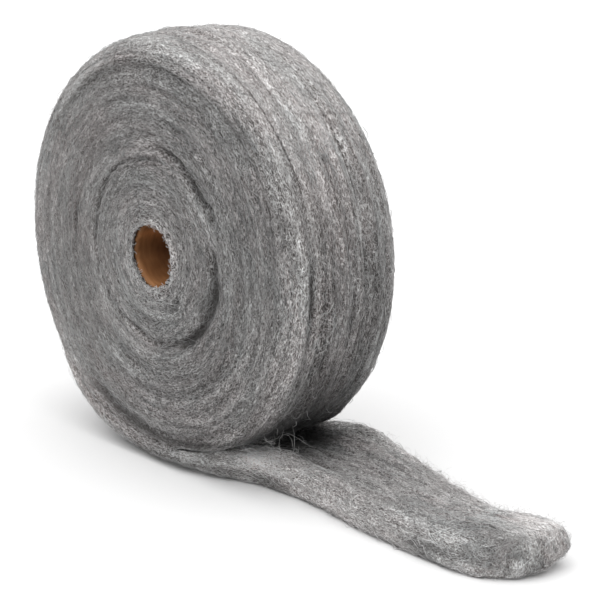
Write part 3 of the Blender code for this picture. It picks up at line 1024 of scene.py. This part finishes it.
def grow_fibres(tree, starts, on_tail, rng, lift):
    """Wavy lines over the wool, mostly along the winding. They start and end inside it."""
    count = len(starts)
    step = rng.uniform(*FIBRE_LENGTHS, count) / (FIBRE_POINTS - 1)
    bend = rng.normal(0.0, FIBRE_STRAY, count)
    wave = rng.uniform(*FIBRE_WAVES, count)
    phase = rng.uniform(0, 2 * math.pi, count)
    top = rng.exponential(lift, count)
    places, normals = snap(tree, starts)
    lines, fronts = [], []
    for k in range(FIBRE_POINTS):
        arch = math.sin(math.pi * k / (FIBRE_POINTS - 1)) ** ARCH_POWER
        line = places + normals * ((FIBRE_RISE + top) * arch - FIBRE_ROOT)[:, None]
        line[:, 2] = np.maximum(line[:, 2], 0.0)
        lines.append(line)
        fronts.append(normals)
        way = heading(places, on_tail)
        side = unit(np.cross(normals, way))
        turn = bend + FIBRE_CURL * np.cos(wave * k + phase)
        move = way * np.cos(turn)[:, None] + side * np.sin(turn)[:, None]
        places, normals = snap(tree, places + move * step[:, None])
    return np.stack(lines, axis=1), np.stack(fronts, axis=1)


def grow_curls(starts, normals, ways, rng, length, outward, bend):
    """Fibres that stand free of the wool and curl through the air."""
    count = len(starts)
    step = rng.uniform(*CURL_LENGTH_SHARES, count)[:, None] * length / (CURL_POINTS - 1)
    way = normals * outward + ways * rng.choice((-1, 1), (count, 1))
    way = unit(way + rng.normal(0, CURL_STRAY, (count, 3)))
    axis = unit(rng.normal(0, 1, (count, 3)))
    places = starts - normals * CURL_ROOT
    lines = []
    for _ in range(CURL_POINTS):
        lines.append(places)
        places = places + way * step
        places[:, 2] = np.maximum(places[:, 2], CURL_LOWEST)
        way = unit(way + np.cross(axis, way) * bend)
        axis = unit(axis + rng.normal(0, CURL_WANDER, (count, 3)))
    fronts = np.repeat(axis[:, None], CURL_POINTS, axis=1)
    return np.stack(lines, axis=1), fronts


def thread_faces(points):
    """Triangles of one closed three-sided thread that tapers to a point at both ends."""
    last = 1 + 3 * (points - 3)
    faces = []
    for corner in range(3):
        following = (corner + 1) % 3
        faces.append((0, 1 + corner, 1 + following))
        for here in range(1, last, 3):
            there = here + 3
            faces.append((here + corner, there + corner, there + following))
            faces.append((here + corner, there + following, here + following))
        faces.append((last + corner, last + 3, last + following))
    return np.array(faces)


def thread_mesh(name, lines, fronts, widths, tones, pale):
    """Threads along the lines, one side of each turned to the front, with their tones."""
    count = len(lines)
    tangents = unit(lines[:, 2:] - lines[:, :-2])
    sides = unit(np.cross(tangents, fronts[:, 1:-1]))
    ups = np.cross(sides, tangents)
    corners = []
    for angle in (math.pi / 2, math.pi * 7 / 6, math.pi * 11 / 6):
        offset = sides * math.cos(angle) + ups * math.sin(angle)
        corners.append(lines[:, 1:-1] + offset * (widths / 2)[:, None, None])
    middle = np.stack(corners, axis=2).reshape(count, -1, 3)
    vertices = np.concatenate([lines[:, :1], middle, lines[:, -1:]], axis=1)
    each = vertices.shape[1]
    faces = np.arange(count)[:, None, None] * each + thread_faces(lines.shape[1])
    mesh = bpy.data.meshes.new(name)
    mesh.from_pydata(vertices.reshape(-1, 3), [], faces.reshape(-1, 3).tolist())
    set_attribute(mesh, "tone", np.repeat(tones, each))
    set_attribute(mesh, "pale", np.repeat(pale, each))
    return mesh


def draw_widths(rng, count, share):
    return FIBRE_WIDTH * rng.uniform(*FIBRE_WIDTH_SHARES, count) * share


def draw_tones(rng, count, middle):
    return np.clip(rng.normal(middle, TONE_SPREAD, count), 0.0, 1.0)


def make_fibres(name, samples, tree, mask, count, seed, lift, width, material):
    rng = np.random.default_rng(seed)
    centres, normals, weights, share = samples
    picked = pick(rng, mask, weights, count)
    here = centres[picked], normals[picked], share[picked]
    starts = centres[picked] + rng.normal(0, FIBRE_SCATTER, (count, 3))
    lines, fronts = grow_fibres(tree, starts, share[picked] > 0, rng, lift)
    tones = MIDDLE_TONE + (draw_tones(rng, count, MIDDLE_TONE) - MIDDLE_TONE) * contrast(*here)
    widths = draw_widths(rng, count, width)
    # The fibres take on the painted light, shade and tone of the wool where they start
    mesh = thread_mesh(name, lines, fronts, widths, tones, FIBRE_LIGHT_AND_TONE * paleness(*here))
    add_piece(name, mesh, material)


def make_curls(name, samples, places, groups, width, material):
    """One piece of free curls, of which each group starts in its own place."""
    rng = np.random.default_rng(CURL_SEED)
    centres, normals, weights, share = samples
    lines, fronts = [], []
    for place, count, length, outward, bend in groups:
        picked = pick(rng, places[place], weights, count)
        ways = heading(centres[picked], share[picked] > 0)
        line, front = grow_curls(centres[picked], normals[picked], ways, rng, length, outward, bend)
        lines.append(line)
        fronts.append(front)
    lines, fronts = np.concatenate(lines), np.concatenate(fronts)
    count = len(lines)
    widths = draw_widths(rng, count, width)
    mesh = thread_mesh(name, lines, fronts, widths, draw_tones(rng, count, CURL_TONE), np.zeros(count))
    add_piece(name, mesh, material)


def make_all_fibres(wool, material):
    samples = surface_samples(wool.data)
    places = fibre_places(samples)
    tree = BVHTree.FromObject(wool, bpy.context.evaluated_depsgraph_get())
    for name, place, count, seed, lift, width in FIBRES:
        make_fibres(name, samples, tree, places[place], count, seed, lift, width, material)
    make_curls("edge_fuzz", samples, places, EDGE_FUZZ, EDGE_FUZZ_WIDTH, material)
    make_curls("stray_curls", samples, places, STRAY_CURLS, STRAY_CURLS_WIDTH, material)
    centres, _, weights, share = samples
    to_axis = unit(((0.0, 0.0, AXIS_HEIGHT) - centres) * (1.0, 0.0, 1.0))
    hub_samples = centres, to_axis, weights, share
    make_curls("hub_curls", hub_samples, places, HUB_CURLS, HUB_CURLS_WIDTH, material)


# Cardboard core


def core_rings():
    """Points of the tube, a ring in each row: along its bore and back along its outer side."""
    angle = (2 * math.pi * np.arange(CORE_AROUND) / CORE_AROUND)[None, :]
    half_length = CORE_HALF_LENGTH - CORE_SET_BACK + waves(angle, 0 * angle, CORE_END_WAVES) * MM
    y = np.linspace(-1, 1, CORE_ALONG + 1)[:, None] * half_length
    turns = (y - SEAM_SLOPE * CORE_RADIUS * angle) / SEAM_PITCH
    seam = SEAM_DEPTH * bell(((turns + 0.5) % 1.0 - 0.5) / SEAM_HALF_WIDTH)
    sides = []
    for radius in (CORE_RADIUS - CORE_WALL + seam, CORE_RADIUS + 0 * seam):
        x, z = radius * np.cos(angle), AXIS_HEIGHT + radius * np.sin(angle)
        sides.append(np.stack([x, y, z], axis=2))
    return np.concatenate([sides[0], sides[1][::-1]])


def ring_faces(rows, columns):
    """Quads of a grid that closes on itself both ways."""
    row, column = np.meshgrid(np.arange(rows), np.arange(columns), indexing="ij")
    here, there = row * columns, (row + 1) % rows * columns
    following = (column + 1) % columns
    corners = [here + column, here + following, there + following, there + column]
    return np.stack(corners, axis=2).reshape(-1, 4)


def make_core(material):
    rings = core_rings()
    mesh = bpy.data.meshes.new("core_board")
    mesh.from_pydata(rings.reshape(-1, 3), [], ring_faces(*rings.shape[:2]).tolist())
    weld(mesh)
    points = read_vectors(mesh.vertices, "co")
    radius, angle = polar(points)
    # Mask of the painted shade: the outer side, which the cut ends fade to
    set_attribute(mesh, "outer_side", radius > CORE_RADIUS - CORE_WALL / 2)
    # Painted light in the bore
    set_attribute(mesh, "pale", patches(BOARD_PAINTED_LIGHT, np.degrees(angle), points[:, 1] / MM, wraps=True))
    return add_piece("core_board", mesh, material)


# Materials


class Graph:
    """Short forms for building the nodes of a material or of the world."""

    def __init__(self, owner, shader="Principled BSDF"):
        owner.use_nodes = True
        self.owner = owner
        self.tree = owner.node_tree
        self.shader = self.tree.nodes[shader]

    def add(self, kind, inputs=(), **settings):
        node = self.tree.nodes.new(kind)
        for key, value in settings.items():
            setattr(node, key, value)
        for socket, value in dict(inputs).items():
            if isinstance(value, bpy.types.NodeSocket):
                self.tree.links.new(value, node.inputs[socket])
            else:
                node.inputs[socket].default_value = value
        return node

    def attribute(self, name, output="Fac"):
        return self.add("ShaderNodeAttribute", attribute_name=name).outputs[output]

    def math(self, operation, *values):
        return self.add("ShaderNodeMath", dict(enumerate(values)), operation=operation).outputs[0]

    def average(self, first, second, share):
        """The first value at its share and the second one at what is left of 1."""
        return self.math(
            "ADD", self.math("MULTIPLY", first, share), self.math("MULTIPLY", second, 1 - share)
        )

    def vector(self, operation, *values):
        return self.add("ShaderNodeVectorMath", dict(enumerate(values)), operation=operation).outputs[0]

    def noise(self, vector, depth=0.0, detail=2.0, distortion=0.0):
        inputs = {"Vector": vector, "W": depth, "Scale": 1.0, "Detail": detail, "Distortion": distortion}
        return self.add("ShaderNodeTexNoise", inputs, noise_dimensions="4D").outputs["Fac"]

    def place_noise(self, scale, detail, distortion=0.0):
        """Noise in space, with its waves per metre along each axis."""
        place = self.add("ShaderNodeTexCoord").outputs["Object"]
        return self.noise(self.vector("MULTIPLY", place, scale), detail=detail, distortion=distortion)

    def fade(self, value, reach):
        """1 where value is 0, falling to 0 at reach."""
        inputs = {"Value": value, "From Min": 0.0, "From Max": reach, "To Min": 1.0, "To Max": 0.0}
        return self.add("ShaderNodeMapRange", inputs, interpolation_type="SMOOTHSTEP").outputs["Result"]

    def ramp(self, value, stops):
        node = self.add("ShaderNodeValToRGB", {"Fac": value})
        elements = node.color_ramp.elements
        for element, (place, colour) in zip(elements, (stops[0], stops[-1])):
            element.position, element.color = place, (*colour, 1.0)
        for place, colour in stops[1:-1]:
            elements.new(place).color = (*colour, 1.0)
        return node.outputs["Color"]

    def mix(self, factor, first, second, blend="MIX"):
        inputs = {0: factor, 6: first, 7: second}
        settings = {"data_type": "RGBA", "blend_type": blend, "clamp_result": True}
        return self.add("ShaderNodeMix", inputs, **settings).outputs[2]

    def bump(self, height, strength, distance):
        node = self.add("ShaderNodeBump", {"Height": height, "Strength": strength, "Distance": distance})
        self.link(node.outputs["Normal"], "Normal")

    def seen_directly(self):
        """1 for what the camera, a reflection or a clear material looks at, 0 for light that bounces."""
        path = self.add("ShaderNodeLightPath").outputs
        seen = path["Is Camera Ray"]
        for ray in ("Is Glossy Ray", "Is Transmission Ray"):
            seen = self.math("MAXIMUM", seen, path[ray])
        return seen

    def link(self, value, socket):
        self.tree.links.new(value, self.shader.inputs[socket])

    def constants(self, values):
        for socket, value in values.items():
            self.shader.inputs[socket].default_value = value


def grey(value, warmth=0.0):
    """A grey, with a little more red and less blue where it is warm."""
    return (value * (1 + warmth), value, value * (1 - BLUE_LOSS * warmth))


def strand_noise(graph, length, width, shift, detail=0.0, distortion=0.0):
    """Noise drawn out along the winding: length along the fibres and width across them, in metres."""
    scale = (1 / length, 1 / width, 1 / length)
    vector = graph.vector("MULTIPLY", graph.attribute("strand", "Vector"), scale)
    vector = graph.vector("ADD", vector, (shift, 0.0, 0.0))
    depth = graph.math("MULTIPLY", graph.attribute("strand_depth"), 1 / width)
    return graph.noise(vector, depth, detail, distortion)


def curly_lines(graph, length, width, shift, thickness):
    """Thin lines that wander along the contours of a noise, as single fibres do."""
    noise = strand_noise(graph, length, width, shift, distortion=STRAND_DISTORTION)
    away = graph.math("ABSOLUTE", graph.math("SUBTRACT", noise, 0.5))
    return graph.fade(away, thickness)


def toned(graph, colour, noise, tints):
    """The colour with tints by the noise, made paler or darker by the painted light, shade and tones."""
    colour = graph.mix(1.0, colour, graph.ramp(noise, tints), "MULTIPLY")
    stops = graph.math("MULTIPLY", graph.attribute("pale"), TONE_STOPS)
    return graph.mix(1.0, colour, graph.math("POWER", 2.0, stops), "MULTIPLY")


def wool_tangle(graph):
    """Pattern of single fibres, pale where one lies on top."""
    lines = curly_lines(graph, *STRANDS[0])
    for strand in STRANDS[1:]:
        lines = graph.math("MAXIMUM", lines, curly_lines(graph, *strand))
    return graph.average(lines, strand_noise(graph, *FINE_GRAIN), LINES_SHARE)


def wool_value(graph, tangle):
    """Brightness of the wool's pattern, before it is turned into greys."""
    drift = graph.average(strand_noise(graph, *COARSE_GRAIN), strand_noise(graph, *BANDS), COARSE_SHARE)
    drift = graph.math("MULTIPLY", graph.math("SUBTRACT", drift, 0.5), DRIFT_DEPTH)
    value = graph.math("SUBTRACT", graph.math("ADD", tangle, drift), MIDDLE_VALUE)
    value = graph.math("ADD", graph.math("MULTIPLY", value, graph.attribute("contrast")), MIDDLE_VALUE)
    streaks = graph.fade(strand_noise(graph, *STREAKS), STREAKS_REACH)
    streaks = graph.math("MULTIPLY", streaks, graph.attribute("streaked"))
    return graph.math("SUBTRACT", value, graph.math("MULTIPLY", streaks, STREAKS_DEPTH))


def wool_material():
    graph = Graph(bpy.data.materials.new("matted_wool"))
    tangle = wool_tangle(graph)
    greys = [(place, grey(value, warmth)) for place, value, warmth in WOOL_GREYS]
    colour = graph.ramp(wool_value(graph, tangle), greys)
    colour = toned(graph, colour, strand_noise(graph, *WOOL_BLOTCHES), WOOL_TINTS)
    # Painted shade: the creases are darkened towards near-black by their depth
    hollow = graph.math("MULTIPLY", graph.attribute("hollow"), CREASE_SHADE_SHARE)
    graph.link(graph.mix(hollow, colour, CREASE_SHADE_COLOUR), "Base Color")
    graph.constants({"Metallic": 0.3, "Roughness": 0.6})
    graph.bump(tangle, strength=0.6, distance=0.0006)
    return graph.owner


def fibre_material():
    graph = Graph(bpy.data.materials.new("loose_fibres"))
    colour = graph.ramp(graph.attribute("tone"), [(place, grey(value)) for place, value in FIBRE_GREYS])
    blotches = graph.place_noise(FIBRE_BLOTCHES, detail=2.0)
    graph.link(toned(graph, colour, blotches, FIBRE_TINTS), "Base Color")
    graph.constants({"Metallic": 0.4, "Roughness": 0.5})
    return graph.owner


def cardboard_material():
    graph = Graph(bpy.data.materials.new("kraft_board"))
    fibres = graph.place_noise(BOARD_FIBRES, detail=4.0, distortion=0.4)
    colour = graph.ramp(graph.place_noise(BOARD_BLOTCHES, detail=2.0), BOARD_BROWNS)
    colour = toned(graph, colour, fibres, BOARD_TINTS)
    # Painted shade: the outer side and, fading, the cut ends go near-black
    colour = graph.mix(graph.attribute("outer_side"), colour, BOARD_SHADE)
    graph.link(colour, "Base Color")
    graph.constants({"Roughness": 0.6, "Specular IOR Level": 0.25})
    graph.bump(fibres, strength=0.3, distance=0.0005)
    return graph.owner


# Stage


def make_world():
    """White background, with only a little light of its own."""
    world = bpy.data.worlds.new("studio")
    bpy.context.scene.world = world
    graph = Graph(world, "Background")
    graph.constants({"Color": (1.0, 1.0, 1.0, 1.0)})
    inputs = {"Value": graph.seen_directly(), "To Min": FILL_LIGHT, "To Max": 1.0}
    graph.link(graph.add("ShaderNodeMapRange", inputs).outputs["Result"], "Strength")


def make_floor():
    """Pale floor that looks white but throws back only a quarter of the light."""
    mesh = bpy.data.meshes.new("floor")
    signs = ((-1, -1), (1, -1), (1, 1), (-1, 1))
    mesh.from_pydata([(x * FLOOR_SIZE, y * FLOOR_SIZE, 0) for x, y in signs], [], [(0, 1, 2, 3)])
    floor = add_object("floor", mesh)
    floor.location.z = -FLOOR_DROP
    graph = Graph(bpy.data.materials.new("pale_floor"))
    seen = graph.seen_directly()
    graph.link(graph.mix(seen, (*grey(FLOOR_GREY), 1.0), (*grey(FLOOR_WHITE), 1.0)), "Base Color")
    graph.constants({"Roughness": 1.0, "Specular IOR Level": 0.0})
    mesh.materials.append(graph.owner)


def make_overhead_light():
    """Broad soft light from above, like a large softbox."""
    data = bpy.data.lights.new("overhead", "SUN")
    data.energy = OVERHEAD_STRENGTH
    data.angle = OVERHEAD_BREADTH
    lamp = add_object("overhead", data)
    lamp.rotation_euler = Vector(OVERHEAD_WAY).to_track_quat("-Z", "Y").to_euler()


def make_camera():
    data = bpy.data.cameras.new("camera")
    data.lens = CAMERA_LENS
    data.sensor_width = CAMERA_SENSOR
    camera = add_object("camera", data)
    camera.location = CAMERA_PLACE
    camera.rotation_euler = (math.pi / 2 - CAMERA_PITCH, 0.0, CAMERA_YAW)
    bpy.context.scene.camera = camera


def main():
    make_camera()
    make_world()
    make_floor()
    make_overhead_light()
    wool = make_wool(wool_material())
    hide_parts("steel_wool_roll")
    make_all_fibres(wool, fibre_material())
    core = make_core(cardboard_material())
    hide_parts("cardboard_core")
    bpy.context.scene.view_settings.view_transform = "Standard"


main()
